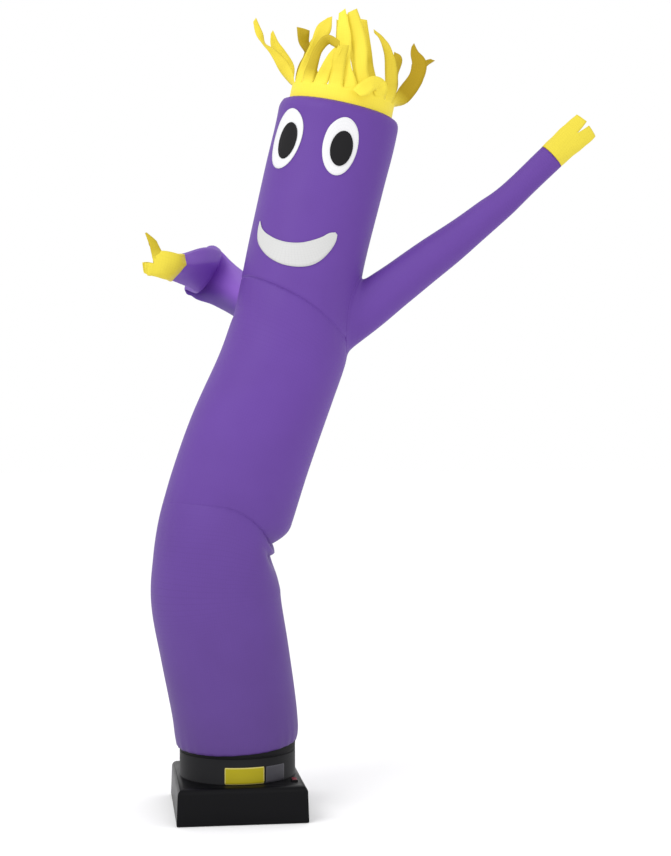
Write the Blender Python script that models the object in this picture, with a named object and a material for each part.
"""Inflatable air dancer on its blower.

A cloth tube a foot across stands on the outlet collar of a low box blower. It leans left, buckles
at the waist and leans right above it. One arm reaches up, the other is folded back on itself, and a
crown of cut streamers stands on the open head. Metres, +Z up; the origin is the middle of the
blower's underside. The dancer's own side, back and height axes are turned a little about Z.
"""

import math
from collections import namedtuple

import bmesh
import bpy
import numpy as np
from mathutils import Matrix, Vector

GAP = 0.0003  # between hard neighbours
SEAM = 0.0005  # between one cloth piece and the next it is sewn to
CLOTH = 0.002  # thickness of the tube's and the sleeves' cloth
THIN_CLOTH = 0.0014  # thickness of the face patches and the streamers
DANCER_TURN = math.radians(-8)  # the dancer faces this far off the blower's front

TUBE_RADIUS = 0.1525  # a 12 inch tube
HEAD_ROUND = 0.028  # length over which the head's top rounds in
HEAD_INSET = 0.019  # how far it rounds in
HEM_ROUND = 0.030
HEM_INSET = 0.0030

HOUSING_WIDTH = 0.318
HOUSING_DEPTH = 0.355
HOUSING_HEIGHT = 0.089
HOUSING_DRAFT = 0.003  # each side leans in this far from bottom to top
HOUSING_CORNER = 0.018
HOUSING_TOP_EDGE = 0.015

COLLAR_RADIUS = 0.1440
COLLAR_WALL = 0.006
COLLAR_TOP = 0.160
COLLAR_FLARE = 0.0012
SPIGOT_LOW = 0.150  # above this the collar steps in, to take the cuff
SPIGOT_STEP = 0.002
COLLAR_STEPS = 40
CUFF_FLARE = 0.168  # height where the cuff starts out to the hem
CUFF_EASE = 0.002  # its space inside the tube
CUFF_LAP = 0.010  # how far it reaches up inside the tube

SWITCH_PLACE = (0.130, -0.115)
SWITCH_WIDTH = 0.015
SWITCH_LENGTH = 0.021
SWITCH_RIM = 0.0018
BEZEL_HEIGHT = 0.0042
ROCKER_AXIS_HEIGHT = 0.0030  # above the housing's top
ROCKER_END_RISE = 0.0030
ROCKER_MIDDLE_RISE = 0.0018
ROCKER_BELOW = 0.0012
ROCKER_TILT = math.radians(6)  # the switch is shown in its ON place
SWITCH_CLEARANCE = 0.0003

GLAND_RADIUS = 0.011
GLAND_LENGTH = 0.012
GLAND_DISH = 0.005
GLAND_PLACE = (0.09, 0.040)  # side and height on the back wall

# The blank side patches: bearing of the middle round the collar, width, lowest and highest edge.
Patch = namedtuple("Patch", "name bearing width low high colour")
SIDE_PATCHES = (
    Patch("side_patch_yellow", -79.4, 0.098, 0.0920, 0.1335, (0.80, 0.70, 0.10)),
    Patch("side_patch_grey", -46.5, 0.058, 0.0955, 0.1355, (0.09, 0.09, 0.10)),
)
PATCH_THICKNESS = 0.0008

# Sections of a tube: its middle in the dancer's side, back and height, then its half sizes:
# across, to the outer side, and to the inner side of a fold.
Section = namedtuple("Section", "side back height wide thick inner")


def even_section(side, back, height, wide, thick):
    return Section(side, back, height, wide, thick, thick)


def round_section(side, back, height, wide):
    """A body section: what it gains in width it loses in depth, as the cloth's girth stays."""
    return even_section(side, back, height, wide, 2 * TUBE_RADIUS - wide)


BODY = (
    round_section(-0.0010, 0.000, 0.1710, 0.1530),
    round_section(-0.0030, -0.003, 0.2120, 0.1545),
    round_section(-0.0100, -0.008, 0.2714, 0.1555),
    round_section(-0.0310, -0.016, 0.3972, 0.1590),
    round_section(-0.0520, -0.020, 0.5222, 0.1610),
    round_section(-0.0485, -0.020, 0.6092, 0.1600),
    round_section(-0.0350, -0.016, 0.6960, 0.1610),
    round_section(-0.0075, -0.006, 0.7952, 0.1625),
    round_section(0.0330, 0.008, 0.9199, 0.1605),
    round_section(0.0925, 0.026, 1.0708, 0.1545),
    round_section(0.1240, 0.037, 1.1600, 0.1540),
    round_section(0.1400, 0.045, 1.2230, 0.1510),
    round_section(0.1739, 0.066, 1.4023, 0.1500),
    round_section(0.2157, 0.083, 1.5829, 0.1535),
    round_section(0.2412, 0.088, 1.6858, 0.1550),
    round_section(0.2598, 0.085, 1.7746, 0.1550),
)

ARM_RIGHT = (
    even_section(0.1792, 0.050, 1.1490, 0.0615, 0.060),
    even_section(0.3012, 0.050, 1.2400, 0.0615, 0.060),
    even_section(0.4168, 0.050, 1.3260, 0.0545, 0.053),
    even_section(0.5342, 0.050, 1.4142, 0.0470, 0.046),
    even_section(0.6215, 0.050, 1.4825, 0.0405, 0.040),
    even_section(0.6850, 0.050, 1.5335, 0.0352, 0.035),
    even_section(0.7912, 0.050, 1.6364, 0.0340, 0.028),
)

# Up and back to the elbow, pressed flat there by the fold, then forward to the cuff.
ARM_LEFT = (
    Section(0.0750, 0.050, 1.2380, 0.0550, 0.0550, 0.0550),
    Section(0.0250, 0.125, 1.2750, 0.0540, 0.0530, 0.0530),
    Section(-0.0460, 0.232, 1.3280, 0.0580, 0.0400, 0.0280),
    Section(-0.0860, 0.290, 1.3571, 0.0670, 0.0220, 0.0090),
    Section(-0.1070, 0.320, 1.3689, 0.0730, 0.0110, 0.0075),
    Section(-0.1230, 0.335, 1.3779, 0.0745, 0.0080, 0.0070),
    Section(-0.1390, 0.322, 1.3865, 0.0730, 0.0110, 0.0075),
    Section(-0.1230, 0.284, 1.3779, 0.0660, 0.0230, 0.0100),
    Section(-0.0990, 0.222, 1.3650, 0.0630, 0.0330, 0.0210),
    Section(-0.1130, 0.150, 1.3665, 0.0560, 0.0330, 0.0300),
    Section(-0.1483, 0.000, 1.3500, 0.0371, 0.0260, 0.0260),
)

# A hand's palm, then its two fingers: each finger is half a sleeve, opened along the notch.
PALM_RIGHT = (
    even_section(0.7919, 0.050, 1.6371, 0.0340, 0.0280),
    even_section(0.8250, 0.050, 1.6680, 0.0355, 0.0190),
    even_section(0.8545, 0.050, 1.6935, 0.0370, 0.0140),
)
FINGERS_RIGHT = (
    (
        even_section(0.8690, 0.049, 1.7100, 0.0345, 0.0110),
        even_section(0.8800, 0.047, 1.7245, 0.0300, 0.0080),
    ),
    (
        even_section(0.8715, 0.052, 1.7045, 0.0345, 0.0110),
        even_section(0.8850, 0.055, 1.7140, 0.0310, 0.0080),
    ),
)
PALM_LEFT = (
    even_section(-0.1484, -0.0012, 1.3499, 0.0371, 0.0260),
    even_section(-0.1516, -0.0148, 1.3485, 0.0365, 0.0252),
    even_section(-0.1590, -0.0390, 1.3500, 0.0355, 0.0210),
    even_section(-0.1800, -0.0540, 1.3560, 0.0340, 0.0160),
    even_section(-0.2030, -0.0600, 1.3600, 0.0330, 0.0110),
)
FINGERS_LEFT = (
    (
        even_section(-0.2115, -0.0622, 1.3950, 0.0210, 0.0100),
        even_section(-0.2150, -0.0640, 1.4060, 0.0180, 0.0070),
        even_section(-0.2235, -0.0660, 1.4290, 0.0040, 0.0040),
    ),
    (
        even_section(-0.2160, -0.0650, 1.3575, 0.0320, 0.0080),
        even_section(-0.2270, -0.0700, 1.3555, 0.0250, 0.0070),
    ),
)

# Folds of the body. A fold lies at a length along the tube, falls toward the right side by its
# slope and its hook, and is pressed in round its middle bearing (0 right, -90 front).
Fold = namedtuple("Fold", "at slope hook middle span depth above below")
FOLDS = (
    Fold(0.579, -0.020, 0.085, -30, 150, 0.014, 0.050, 0.090),
    Fold(0.579, 0.000, 0.000, 0, 60, 0.030, 0.060, 0.025),
    Fold(0.536, 0.000, 0.000, 0, 55, 0.040, 0.045, 0.160),
    Fold(1.131, 0.045, 0.008, -60, 150, 0.007, 0.010, 0.050),
)
FOLD_REACH = 0.18  # a fold's slope fades out this far along the tube
FOLD_SHARPNESS = 1.5

# Streamers, one for each 18 degrees of the band, from the left round the front to the right and
# round the back: full width, share of it at the tip, twist in degrees, and three (side, back, up)
# points of its route, from the middle of the head's rim.
Streamer = namedtuple("Streamer", "name width tip twist near middle far")
STREAMERS = (
    Streamer("far_left", 0.036, 0.45, 120, (-0.146, -0.020, 0.103), (-0.179, -0.020, 0.151), (-0.221, -0.030, 0.220)),
    Streamer("curled", 0.040, 0.90, 35, (-0.096, -0.060, 0.094), (-0.080, -0.060, 0.160), (-0.102, -0.060, 0.186)),
    Streamer("tall_left", 0.040, 0.70, 45, (-0.083, -0.100, 0.087), (-0.062, -0.100, 0.142), (-0.029, -0.100, 0.210)),
    Streamer("arched", 0.036, 0.90, 10, (-0.078, -0.136, 0.087), (-0.038, -0.150, 0.134), (0.012, -0.156, 0.092)),
    Streamer("middle_low", 0.036, 0.80, 10, (-0.024, -0.128, 0.069), (-0.012, -0.134, 0.110), (0.018, -0.138, 0.158)),
    Streamer("middle_tall", 0.042, 0.80, 8, (0.008, -0.114, 0.094), (0.008, -0.106, 0.155), (0.012, -0.106, 0.217)),
    Streamer("right_tall", 0.042, 0.80, -8, (0.052, -0.106, 0.090), (0.047, -0.086, 0.150), (0.043, -0.080, 0.212)),
    Streamer("folded_front", 0.042, 1.00, 0, (0.088, -0.105, 0.052), (0.078, -0.140, 0.050), (0.066, -0.150, -0.004)),
    Streamer("wavy", 0.030, 0.20, 60, (0.126, -0.060, 0.060), (0.122, -0.060, 0.125), (0.084, -0.060, 0.183)),
    Streamer("right_dark", 0.040, 0.60, -40, (0.165, -0.020, 0.045), (0.196, -0.030, 0.090), (0.184, -0.030, 0.150)),
    Streamer("right_fork", 0.036, 0.45, 30, (0.165, 0.020, 0.050), (0.200, 0.020, 0.090), (0.238, 0.020, 0.126)),
    Streamer("right_small", 0.028, 0.40, 50, (0.138, 0.060, 0.070), (0.150, 0.060, 0.115), (0.165, 0.060, 0.147)),
    Streamer("back_right", 0.042, 0.80, 15, (0.086, 0.085, 0.110), (0.078, 0.062, 0.170), (0.070, 0.045, 0.225)),
    Streamer("back_tall", 0.044, 0.80, -10, (0.055, 0.112, 0.110), (0.050, 0.118, 0.170), (0.046, 0.122, 0.235)),
    Streamer("back_middle", 0.044, 0.80, 10, (0.020, 0.108, 0.110), (0.020, 0.086, 0.170), (0.024, 0.070, 0.215)),
    Streamer("back_lean", 0.042, 0.80, -10, (-0.014, 0.126, 0.110), (-0.004, 0.128, 0.170), (-0.006, 0.130, 0.240)),
    Streamer("back_left", 0.038, 0.70, 15, (-0.066, 0.110, 0.090), (-0.072, 0.100, 0.130), (-0.078, 0.090, 0.165)),
    Streamer("inward_high", 0.036, 0.90, 10, (-0.068, 0.088, 0.075), (-0.035, 0.065, 0.090), (-0.010, 0.045, 0.045)),
    Streamer("inward_low", 0.036, 0.90, -10, (-0.086, 0.047, 0.065), (-0.055, 0.020, 0.085), (-0.030, 0.000, 0.040)),
    Streamer("back_of_left", 0.034, 0.45, -50, (-0.137, 0.020, 0.098), (-0.157, 0.020, 0.144), (-0.176, 0.020, 0.198)),
)
BAND_BELOW = 0.012  # the band reaches this far down inside the head
BAND_ABOVE = 0.032
BAND_EASE = 0.0017  # from the head's cloth to the middle of the band
STREAMER_SLIT = 0.0040
STREAMER_STEPS = 3  # stretches of mesh between two route points

# Face patches: middle along the tube, bearing of the middle, half width and half height.
Oval = namedtuple("Oval", "name along bearing wide tall tilt colour")
WHITE = (0.90, 0.90, 0.90)
BLACK = (0.024, 0.023, 0.025)
OVALS = (
    Oval("eye_white_left", 1.524, -136.0, 0.0500, 0.0870, 2, WHITE),
    Oval("eye_white_right", 1.526, -80.0, 0.0430, 0.0830, 3, WHITE),
    Oval("eye_pupil_left", 1.514, -132.5, 0.0285, 0.0510, 2, BLACK),
    Oval("eye_pupil_right", 1.518, -78.5, 0.0270, 0.0490, 3, BLACK),
)
OVAL_STEPS = 28
FACE_LIFT = 0.0008  # from the head's true surface to the white patches

# The mouth's middle line, from its left tip to its right end, and half its thickness there.
Smile = namedtuple("Smile", "along bearing half")
SMILE = (
    Smile(1.2988, -143.5, 0.0010),
    Smile(1.2716, -139.8, 0.0110),
    Smile(1.2450, -132.9, 0.0220),
    Smile(1.2240, -122.6, 0.0290),
    Smile(1.2158, -110.8, 0.0316),
    Smile(1.2185, -99.8, 0.0310),
    Smile(1.2287, -88.8, 0.0290),
    Smile(1.2456, -79.4, 0.0255),
    Smile(1.2675, -71.2, 0.0195),
    Smile(1.2882, -65.9, 0.0135),
    Smile(1.3003, -62.9, 0.0040),
)

PURPLE = (0.162, 0.084, 0.366)
YELLOW = (0.95, 0.78, 0.08)
PLASTIC_BLACK = (0.012, 0.012, 0.015)


def smooth_rows(rows, steps=12):
    """The rows of a table read densely along a Catmull-Rom curve through them."""
    rows = np.asarray(rows, float)
    ends = np.vstack([2 * rows[0] - rows[1], rows, 2 * rows[-1] - rows[-2]])
    t = np.arange(steps)[:, None] / steps
    spans = []
    for a, b, c, d in zip(ends, ends[1:], ends[2:], ends[3:]):
        cubic = 3 * b - a - 3 * c + d
        square = 2 * a - 5 * b + 4 * c - d
        spans.append(b + 0.5 * ((c - a) * t + square * t**2 + cubic * t**3))
    return np.vstack(spans + [rows[-1:]])


def unit(vector):
    return vector / np.linalg.norm(vector)


class Tube:
    """A cloth tube: a smooth curve of middles, with an oval section at each point of it."""

    def __init__(self, sections, across, folds=()):
        self.rows = smooth_rows(sections)
        self.across = np.array(across, float)
        self.folds = folds
        steps = np.linalg.norm(np.diff(self.rows[:, :3], axis=0), axis=1)
        self.reach = np.concatenate([[0], np.cumsum(steps)])
        self.length = self.reach[-1]
        self.heading = np.gradient(self.rows[:, :3], self.reach, axis=0)

    def read(self, columns, along):
        return np.array([np.interp(along, self.reach, column) for column in columns.T])

    def frame(self, along):
        """Middle, heading, the two directions across, and the three half sizes, at a length."""
        inside = min(max(along, 0), self.length)
        row = self.read(self.rows, inside)
        heading = unit(self.read(self.heading, inside))
        first = unit(self.across - heading * self.across.dot(heading))
        second = np.cross(heading, first)
        return row[:3] + heading * (along - inside), heading, first, second, row[3:]

    def shifted(self, along, bearing):
        """A ring's place along the tube, drawn toward the slant of the folds near it."""
        lean = math.cos(bearing)
        for fold in self.folds:
            near = max(0.0, 1 - ((along - fold.at) / FOLD_REACH) ** 2) ** 2
            along -= near * (fold.slope * lean + fold.hook * max(0.0, lean) ** 2)
        return along

    def pressed(self, along, bearing):
        """How far the folds press the cloth in, before the rings are slanted."""
        total = 0.0
        for fold in self.folds:
            off = along - fold.at
            nearness = max(0.0, 1 - abs(off) / (fold.above if off > 0 else fold.below))
            turn = math.remainder(bearing - math.radians(fold.middle), 2 * math.pi)
            share = min(1.0, abs(turn) / math.radians(fold.span))
            total += fold.depth * nearness**FOLD_SHARPNESS * math.cos(share * math.pi / 2) ** 2
        return total

    def rounded(self, along):
        """How far the ends of the body draw in."""
        from_top = min(1.0, max(0.0, (along - self.length + HEAD_ROUND) / HEAD_ROUND))
        from_hem = min(1.0, max(0.0, 1 - along / HEM_ROUND))
        return HEAD_INSET * (1 - math.sqrt(1 - from_top**2)) + HEM_INSET * from_hem**2

    def point(self, along, bearing, out=0.0):
        """A point of the surface, or one that lies out from it."""
        place = self.shifted(along, bearing)
        middle, _, first, second, (wide, thick, inner) = self.frame(place)
        if self.folds:
            out -= self.pressed(along, bearing) + self.rounded(along)
        side = (wide + out) * math.cos(bearing)
        back = ((thick if math.sin(bearing) > 0 else inner) + out) * math.sin(bearing)
        return middle + first * side + second * back

    def stations(self, spans, close=0.006):
        """Lengths for the rings: even in each stretch of the table, closer at each fold."""
        stops = self.reach[::12]
        found = {0.0, self.length}
        for start, end in zip(stops, stops[1:]):
            found.update(start + (end - start) * step / spans for step in range(spans))
        for fold in self.folds:
            found.update(fold.at - fold.below * share for share in (0.12, 0.35, 0.7))
            found.update(fold.at + fold.above * share for share in (0, 0.15, 0.45))
        kept = [0.0]
        for along in sorted(found):
            if along - kept[-1] > close:
                kept.append(along)
        kept[-1] = self.length
        return kept


def bearings(count, start=0.0):
    return [start + 2 * math.pi * step / count for step in range(count)]


def to_world(point):
    """From the dancer's side, back and height to the part's own axes."""
    side, back, height = point
    cosine, sine = math.cos(DANCER_TURN), math.sin(DANCER_TURN)
    return Vector((side * cosine - back * sine, side * sine + back * cosine, height))


def new_material(name, colour, roughness, metallic=0.0):
    material = bpy.data.materials.new(name)
    material.use_nodes = True
    shader = material.node_tree.nodes["Principled BSDF"]
    shader.inputs["Base Color"].default_value = (*colour, 1)
    shader.inputs["Roughness"].default_value = roughness
    shader.inputs["Metallic"].default_value = metallic
    material.diffuse_color = (*colour, 1)
    return material


def add_object(name, bm, material=None, smooth=True):
    """Turns a finished bmesh into a named object of the scene."""
    mesh = bpy.data.meshes.new(name)
    bm.to_mesh(mesh)
    bm.free()
    if smooth:
        mesh.shade_smooth()
        mesh.set_sharp_from_angle(angle=math.radians(40))
    thing = bpy.data.objects.new(name, mesh)
    bpy.context.collection.objects.link(thing)
    if material:
        mesh.materials.append(material)
    return thing


def sheet_mesh(rows, closed=False, caps=False):
    """A bmesh of quads over rows of dancer points; closed rows run round, caps shut the ends."""
    bm = bmesh.new()
    grid = [[bm.verts.new(to_world(point)) for point in row] for row in rows]
    for lower, upper in zip(grid, grid[1:]):
        wrap = len(lower) if closed else len(lower) - 1
        for step in range(wrap):
            after = (step + 1) % len(lower)
            bm.faces.new((lower[step], lower[after], upper[after], upper[step]))
    if caps:
        bm.faces.new(grid[0][::-1])
        bm.faces.new(grid[-1])
    return bm


def solidify(thing, thickness, offset):
    wall = thing.modifiers.new("cloth", "SOLIDIFY")
    wall.thickness = thickness
    wall.offset = offset
    wall.use_even_offset = False


def cut(thing, cutter):
    boolean = thing.modifiers.new("cut_" + cutter.name, "BOOLEAN")
    boolean.operation = "DIFFERENCE"
    boolean.solver = "EXACT"
    boolean.object = cutter


def hide(cutter):
    cutter.hide_render = True
    cutter.display_type = "WIRE"
    return cutter


def tube_rows(tube, stations, around, out=0.0):
    return [[tube.point(along, bearing, out) for bearing in bearings(around)] for along in stations]


def tube_object(name, tube, stations, around, material):
    """The tube's cloth: its outer surface, with the wall's thickness inward."""
    thing = add_object(name, sheet_mesh(tube_rows(tube, stations, around), closed=True), material)
    solidify(thing, CLOTH, -1)
    return thing


def tube_cutter(name, tube, stations, around, out):
    """The closed space inside a tube's surface, moved out or in."""
    rows = tube_rows(tube, stations, around, out)
    return hide(add_object(name, sheet_mesh(rows, closed=True, caps=True)))


def make_body_and_arms(body, arms):
    purple = new_material("purple_ripstop", PURPLE, 0.55)
    stations = body.stations(2)
    around = 28
    tube = tube_object("body_tube", body, stations, around, purple)
    seat = tube_cutter("body_space", body, stations, around, SEAM)
    for name, arm in arms.items():
        places = arm.stations(2, close=0.003)
        cut(tube, tube_cutter(name + "_space", arm, places[:-1], 14, -CLOTH - SEAM))
        sleeve = tube_object(name, arm, places, 14, purple)
        cut(sleeve, seat)


def make_hand(name, palm, fingers, across, material):
    """A flat open sleeve: whole rings over the palm, then a half ring for each finger."""
    half = 6
    tube = Tube(palm, across)
    ring = bearings(2 * half, -math.pi / 2)
    bm = bmesh.new()

    def add_row(points):
        return [bm.verts.new(to_world(point)) for point in points]

    def join(lower, upper):
        for step in range(len(lower) - 1):
            bm.faces.new((lower[step], lower[step + 1], upper[step + 1], upper[step]))

    row = None
    for along in tube.stations(1):
        new_row = add_row([tube.point(along, bearing) for bearing in ring])
        if row:
            join(row + row[:1], new_row + new_row[:1])
        row = new_row
    sides = (row[: half + 1], row[half:] + row[:1])
    for turn, side, sections in zip((0, math.pi), sides, fingers):
        whole = Tube((palm[-1],) + sections, across)
        for section_at in whole.reach[12::12]:
            angles = [turn - math.pi / 2 + math.pi * step / half for step in range(half + 1)]
            new_row = add_row([whole.point(section_at, angle) for angle in angles])
            join(side, new_row)
            side = new_row
    solidify(add_object(name, bm, material), CLOTH * 0.8, 0)


def turned(vector, axis, angle):
    return np.array(Matrix.Rotation(angle, 3, Vector(axis)) @ Vector(vector))


def streamer_rows(root, edge, streamer):
    """Pairs of edge points down a streamer, from its root's middle and the band's direction."""
    stops = (root, streamer.near, streamer.middle, streamer.far)
    route = smooth_rows(stops, STREAMER_STEPS)
    heading = np.gradient(route, axis=0)
    count = len(route)
    rows = []
    for step, (middle, ahead) in enumerate(zip(route, heading)):
        if step == 0:
            continue
        share = step / (count - 1)
        ahead = unit(ahead)
        edge = unit(edge - ahead * edge.dot(ahead))
        across = turned(edge, ahead, math.radians(streamer.twist) * share)
        taper = 1 - (1 - streamer.tip) * share**2
        half = 0.5 * streamer.width * taper
        rows.append((middle - across * half, middle + across * half))
    return rows


def make_crown(body, material):
    """A band inside the head's rim, and the streamers cut up from its top edge."""
    rim, up, first, second, (wide, thick, _) = body.frame(body.length)
    inset = HEAD_INSET + CLOTH + BAND_EASE
    step = 2 * math.pi / len(STREAMERS)
    slit = STREAMER_SLIT / (wide - inset)
    bm = bmesh.new()

    def on_band(bearing, height):
        side = first * (wide - inset) * math.cos(bearing)
        return rim + up * height + side + second * (thick - inset) * math.sin(bearing)

    edges = []
    for index in range(len(STREAMERS)):
        middle = -math.pi + step * (index + 0.5)
        edges += [middle - step / 2 + slit / 2, middle + step / 2 - slit / 2]
    heights = (-BAND_BELOW, 0.35 * BAND_ABOVE, BAND_ABOVE)
    rows = [[bm.verts.new(to_world(on_band(edge, height))) for edge in edges] for height in heights]
    for lower, upper in zip(rows, rows[1:]):
        for index in range(len(edges)):
            after = (index + 1) % len(edges)
            bm.faces.new((lower[index], lower[after], upper[after], upper[index]))
    for index, streamer in enumerate(STREAMERS):
        left, right = 2 * index, 2 * index + 1
        start = on_band(edges[left], BAND_ABOVE), on_band(edges[right], BAND_ABOVE)
        root = (start[0] + start[1]) / 2 - rim
        pair = rows[-1][left], rows[-1][right]
        for ends in streamer_rows(root, unit(start[1] - start[0]), streamer):
            new_pair = [bm.verts.new(to_world(rim + end)) for end in ends]
            bm.faces.new((pair[0], pair[1], new_pair[1], new_pair[0]))
            pair = new_pair
    solidify(add_object("hair_crown", bm, material, smooth=False), THIN_CLOTH, 0)


def face_point(body, along, bearing, x, y, lift):
    """A point of a face patch, x round the head and y up it from the patch's middle."""
    return body.point(along + y, math.radians(bearing) + x / TUBE_RADIUS, lift)


def make_oval(body, oval, lift):
    material = new_material(oval.name, oval.colour, 0.5)
    bm = bmesh.new()
    tilt = math.radians(oval.tilt)

    def at(radius, angle):
        x, y = oval.wide * radius * math.cos(angle), oval.tall * radius * math.sin(angle)
        x, y = x * math.cos(tilt) - y * math.sin(tilt), x * math.sin(tilt) + y * math.cos(tilt)
        return bm.verts.new(to_world(face_point(body, oval.along, oval.bearing, x, y, lift)))

    centre = at(0, 0)
    rings = [[at(radius, angle) for angle in bearings(OVAL_STEPS)] for radius in (0.5, 1)]
    for index in range(OVAL_STEPS):
        after = (index + 1) % OVAL_STEPS
        bm.faces.new((centre, rings[0][index], rings[0][after]))
        bm.faces.new((rings[0][index], rings[1][index], rings[1][after], rings[0][after]))
    solidify(add_object(oval.name, bm, material), THIN_CLOTH, 1)


def make_mouth(body):
    """A crescent: a strip laid across the mouth's middle line, pointed at one end, blunt at the other."""
    line = smooth_rows(SMILE, 2)
    around = np.radians(line[:, 1]) * TUBE_RADIUS
    ahead = np.column_stack([np.gradient(around), np.gradient(line[:, 0])])
    rows = []
    for x, along, half, step in zip(around, line[:, 0], line[:, 2], ahead):
        across = unit(np.array([-step[1], step[0]])) * half
        row = []
        for share in (-1, 0, 1):
            bearing = (x + across[0] * share) / TUBE_RADIUS
            row.append(body.point(along + across[1] * share, bearing, FACE_LIFT))
        rows.append(row)
    solidify(add_object("mouth", sheet_mesh(rows), new_material("mouth", WHITE, 0.5)), THIN_CLOTH, -1)


def turned_object(name, profile, steps, material):
    """A ring turned about Z from a closed profile of (radius, height) points."""
    bm = bmesh.new()
    rings = []
    for bearing in bearings(steps):
        ring = [Vector((r * math.cos(bearing), r * math.sin(bearing), z)) for r, z in profile]
        rings.append([bm.verts.new(point) for point in ring])
    for index, ring in enumerate(rings):
        after = rings[(index + 1) % steps]
        for step in range(len(profile)):
            up = (step + 1) % len(profile)
            bm.faces.new((ring[step], after[step], after[up], ring[up]))
    return add_object(name, bm, material)


def make_housing(material):
    """A box with drafted sides, round corners and a round top edge; its underside is flat."""
    bm = bmesh.new()
    bmesh.ops.create_cube(bm, size=1)
    for vert in bm.verts:
        lean = HOUSING_DRAFT if vert.co.z > 0 else 0
        vert.co.x *= HOUSING_WIDTH - 2 * lean
        vert.co.y *= HOUSING_DEPTH - 2 * lean
        vert.co.z = (vert.co.z + 0.5) * HOUSING_HEIGHT
    upright = [edge for edge in bm.edges if abs(edge.verts[0].co.z - edge.verts[1].co.z) > 0.01]
    bmesh.ops.bevel(bm, geom=upright, offset=HOUSING_CORNER, segments=4, profile=0.5, affect="EDGES")
    rim = [
        edge
        for edge in bm.edges
        if all(vert.co.z > HOUSING_HEIGHT - 1e-5 for vert in edge.verts)
    ]
    bmesh.ops.bevel(bm, geom=rim, offset=HOUSING_TOP_EDGE, segments=3, profile=0.5, affect="EDGES")
    return add_object("blower_housing", bm, material)


def make_collar(material):
    low = HOUSING_HEIGHT + GAP
    inner = COLLAR_RADIUS - COLLAR_WALL
    profile = (
        (inner, low),
        (COLLAR_RADIUS + COLLAR_FLARE, low),
        (COLLAR_RADIUS + COLLAR_FLARE, low + 0.001),
        (COLLAR_RADIUS, low + 0.001 + COLLAR_FLARE),
        (COLLAR_RADIUS, SPIGOT_LOW),
        (COLLAR_RADIUS - SPIGOT_STEP, SPIGOT_LOW + 0.0005),
        (COLLAR_RADIUS - SPIGOT_STEP, COLLAR_TOP),
        (inner, COLLAR_TOP),
    )
    return turned_object("outlet_collar", profile, COLLAR_STEPS, material)


def make_cuff(body, material):
    """Black cloth round the collar's spigot, flush with the collar, then out to the tube's hem."""
    snug = (COLLAR_RADIUS - SPIGOT_STEP) / math.cos(math.pi / COLLAR_STEPS) + SEAM
    turns = bearings(COLLAR_STEPS)
    rows = []
    for radius, height in ((snug, SPIGOT_LOW + 0.0015), (snug, COLLAR_TOP), (snug + SEAM, CUFF_FLARE)):
        rows.append([(radius * math.cos(b), radius * math.sin(b), height) for b in turns])
    rows.append([body.point(CUFF_LAP, b, -CLOTH - CUFF_EASE - THIN_CLOTH) for b in turns])
    cuff = add_object("foot_cuff", sheet_mesh(rows, closed=True), material)
    solidify(cuff, THIN_CLOTH, 1)


def make_patch(patch):
    """A thin panel bent round the front of the collar; bearings are the dancer's."""
    inner = COLLAR_RADIUS + SEAM
    half = patch.width / inner / 2
    rows = []
    for height in (patch.low, patch.high):
        turns = [math.radians(patch.bearing) - half + half * step / 4 for step in range(9)]
        rows.append([(inner * math.cos(turn), inner * math.sin(turn), height) for turn in turns])
    thing = add_object(patch.name, sheet_mesh(rows), new_material(patch.name, patch.colour, 0.4))
    solidify(thing, PATCH_THICKNESS, 1)


def prism(name, outline, half_width, material, smooth=False):
    """A solid drawn in Y and Z, and drawn out to both sides along X."""
    bm = bmesh.new()
    ends = []
    for x in (-half_width, half_width):
        ends.append([bm.verts.new((x, y, z)) for y, z in outline])
    bm.faces.new(ends[0][::-1])
    bm.faces.new(ends[1])
    for index in range(len(outline)):
        after = (index + 1) % len(outline)
        bm.faces.new((ends[0][index], ends[0][after], ends[1][after], ends[1][index]))
    return add_object(name, bm, material, smooth)


def make_switch(plastic):
    """A frame on the housing's top, and the rocker that tips in it about an X axis."""
    x, y = SWITCH_PLACE
    floor = HOUSING_HEIGHT + GAP
    half_x, half_y = SWITCH_WIDTH / 2, SWITCH_LENGTH / 2
    outline = ((-half_y, 0), (half_y, 0), (half_y, BEZEL_HEIGHT), (-half_y, BEZEL_HEIGHT))
    bezel = prism("switch_bezel", outline, half_x, plastic)
    bezel.location = (x, y, floor)
    hole_x, hole_y = half_x - SWITCH_RIM, half_y - SWITCH_RIM
    well = ((-hole_y, -0.01), (hole_y, -0.01), (hole_y, 0.01), (-hole_y, 0.01))
    cutter = hide(prism("switch_well", well, hole_x, None))
    cutter.location = bezel.location
    cut(bezel, cutter)
    end = hole_y - SWITCH_CLEARANCE
    arc = [math.asin(-ROCKER_BELOW / end), 0, math.asin(ROCKER_END_RISE / end)]
    right = [(end * math.cos(turn), end * math.sin(turn)) for turn in arc]
    left = [(-across, height) for across, height in reversed(right)]
    rocker = prism(
        "switch_rocker",
        right + [(0, ROCKER_MIDDLE_RISE)] + left,
        hole_x - SWITCH_CLEARANCE,
        new_material("rocker_red", (0.30, 0.012, 0.025), 0.35),
    )
    rocker.location = (x, y, floor + ROCKER_AXIS_HEIGHT)
    rocker.rotation_euler = (ROCKER_TILT, 0, 0)


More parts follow.
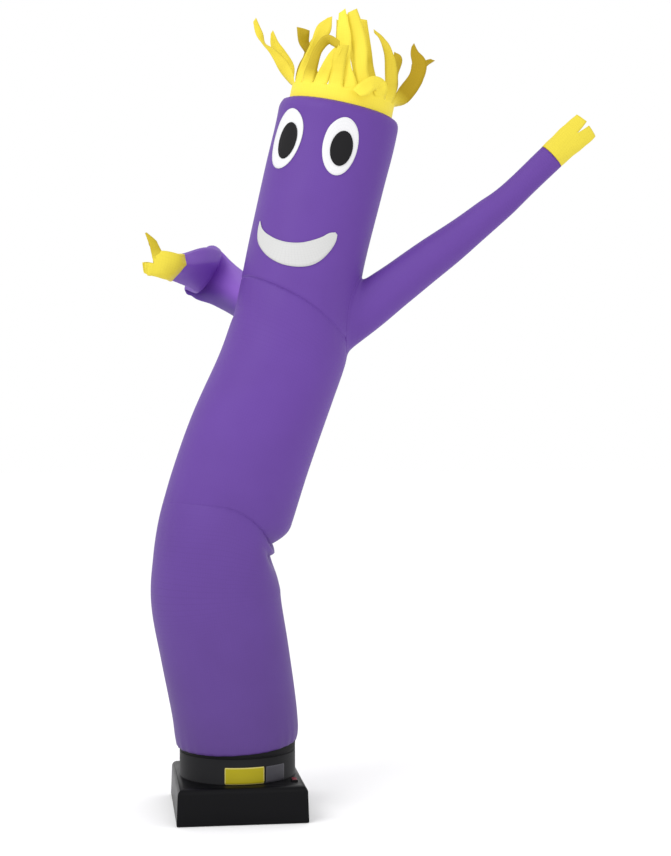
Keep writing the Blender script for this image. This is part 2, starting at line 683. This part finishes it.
def make_gland():
    """A rubber bush on the housing's back wall, dished where the lead leaves it."""
    profile = (
        (0.0, 0.0),
        (GLAND_RADIUS, 0.0),
        (GLAND_RADIUS, GLAND_LENGTH - 0.003),
        (GLAND_RADIUS - 0.003, GLAND_LENGTH),
        (GLAND_DISH, GLAND_LENGTH),
        (GLAND_DISH - 0.001, GLAND_LENGTH - 0.003),
        (0.0, GLAND_LENGTH - 0.003),
    )
    bm = bmesh.new()
    steps = 20
    rings = []
    for radius, height in profile:
        if radius == 0:
            rings.append([bm.verts.new((0, 0, height))])
            continue
        ring = [Vector((radius * math.cos(b), radius * math.sin(b), height)) for b in bearings(steps)]
        rings.append([bm.verts.new(point) for point in ring])
    for lower, upper in zip(rings, rings[1:]):
        for index in range(steps):
            after = (index + 1) % steps
            corners = [lower[index % len(lower)], lower[after % len(lower)]]
            corners += [upper[after % len(upper)], upper[index % len(upper)]]
            bm.faces.new(list(dict.fromkeys(corners)))
    gland = add_object("cord_gland", bm, new_material("gland_rubber", (0.02, 0.02, 0.02), 0.7))
    side, height = GLAND_PLACE
    lean = math.atan2(HOUSING_DRAFT, HOUSING_HEIGHT)
    back = HOUSING_DEPTH / 2 - height * math.tan(lean) + GAP
    gland.location = (side, back, height)
    gland.rotation_euler = (-math.pi / 2 + lean, 0, 0)


def main():
    for thing in list(bpy.data.objects):
        bpy.data.objects.remove(thing, do_unlink=True)
    plastic = new_material("black_plastic", PLASTIC_BLACK, 0.42)
    yellow = new_material("yellow_ripstop", YELLOW, 0.5)
    black_cloth = new_material("black_cloth", (0.015, 0.015, 0.016), 0.75)

    body = Tube(BODY, (1, 0, 0), FOLDS)
    right_across, left_across = (-0.62, 0, 0.78), (0.49, 0, 0.87)
    arms = {"arm_right": Tube(ARM_RIGHT, right_across), "arm_left": Tube(ARM_LEFT, left_across)}

    make_housing(plastic)
    make_collar(plastic)
    make_gland()
    make_switch(plastic)
    for patch in SIDE_PATCHES:
        make_patch(patch)
    make_cuff(body, black_cloth)
    make_body_and_arms(body, arms)
    make_hand("hand_right", PALM_RIGHT, FINGERS_RIGHT, right_across, yellow)
    make_hand("hand_left", PALM_LEFT, FINGERS_LEFT, left_across, yellow)
    make_crown(body, yellow)
    for oval in OVALS:
        on_white = "pupil" in oval.name
        make_oval(body, oval, FACE_LIFT + (THIN_CLOTH + 0.0006 if on_white else 0))
    make_mouth(body)


main()
